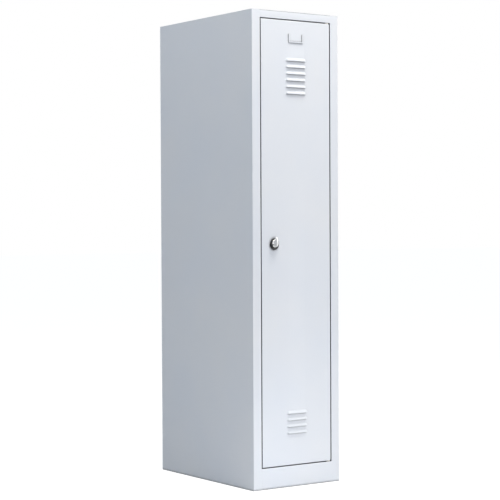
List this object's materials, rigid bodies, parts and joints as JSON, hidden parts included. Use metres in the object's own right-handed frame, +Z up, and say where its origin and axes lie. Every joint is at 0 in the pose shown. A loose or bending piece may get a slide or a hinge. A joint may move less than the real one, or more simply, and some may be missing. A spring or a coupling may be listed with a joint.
{
  "type": "locker cabinet",
  "caption": "Tall narrow sheet-steel locker cabinet on a closed plinth: flush louvred door on hidden pivots, padlock turn latch, hat shelf and coat rail with sliding hooks.",
  "frame": {"origin": "centre of the outline at floor level, the outline taken with the latch that stands proud of the front", "axes": "+Z up the cabinet, -Y towards the front where the door is, +X to the right seen from the front, which is the hinge side"},
  "size_m": [0.405, 0.674, 1.8],
  "materials": {
    "powder_coat": "fine textured light grey powder coat",
    "latch_chrome": "bright chrome plate on die casting",
    "latch_black": "black coat on die casting",
    "zinc": "zinc plated steel",
    "plated_tube": "polished plated tube",
    "grey_plastic": "moulded plastic",
    "nylon": "natural nylon",
    "bumper_rubber": "soft rubber"
  },
  "bodies": {
    "carcass": {"left_side_panel": "powder_coat", "right_side_panel": "powder_coat", "back_panel": "powder_coat", "top_panel": "powder_coat", "top_rail": "powder_coat", "plinth_front": "powder_coat", "plinth_rear": "powder_coat", "floor_panel": "powder_coat", "hat_shelf": "powder_coat", "shelf_support_left": "powder_coat", "shelf_support_right": "powder_coat", "shelf_screws": "zinc", "coat_rail": "plated_tube", "rail_socket_left": "grey_plastic", "rail_socket_right": "grey_plastic", "socket_screws": "zinc", "door_bumpers": "bumper_rubber", "strike_plate": "zinc", "pivot_bush_upper": "nylon", "pivot_bush_lower": "nylon"},
    "door": {"door_panel": "powder_coat", "door_stiffener": "powder_coat", "pivot_block_upper": "powder_coat", "pivot_block_lower": "powder_coat", "pivot_pin_upper": "zinc", "pivot_pin_lower": "zinc", "card_frame": "powder_coat", "latch_housing": "latch_black", "latch_nut": "zinc"},
    "latch": {"latch_knob": "latch_chrome", "latch_cam": "zinc", "cam_screw": "zinc"},
    "hook_left": {"coat_hook_left": "grey_plastic"},
    "hook_middle": {"coat_hook_middle": "grey_plastic"},
    "hook_right": {"coat_hook_right": "grey_plastic"}
  },
  "joints": [
    {"name": "door_hinge", "type": "hinge", "parent": "carcass", "child": "door", "pos_m": [0.153, -0.306, 0.92525], "axis": [0, 0, 1], "range_deg": [0, 110]},
    {"name": "latch_turn", "type": "hinge", "parent": "door", "child": "latch", "pos_m": [-0.105, -0.313, 0.92525], "axis": [0, -1, 0], "range_deg": [0, 90]},
    {"name": "hook_left_slide", "type": "slide", "parent": "carcass", "child": "hook_left", "axis": [1, 0, 0], "range_m": [-0.035, 0.035]},
    {"name": "hook_middle_slide", "type": "slide", "parent": "carcass", "child": "hook_middle", "axis": [1, 0, 0], "range_m": [-0.035, 0.035]},
    {"name": "hook_right_slide", "type": "slide", "parent": "carcass", "child": "hook_right", "axis": [1, 0, 0], "range_m": [-0.035, 0.035]}
  ]
}
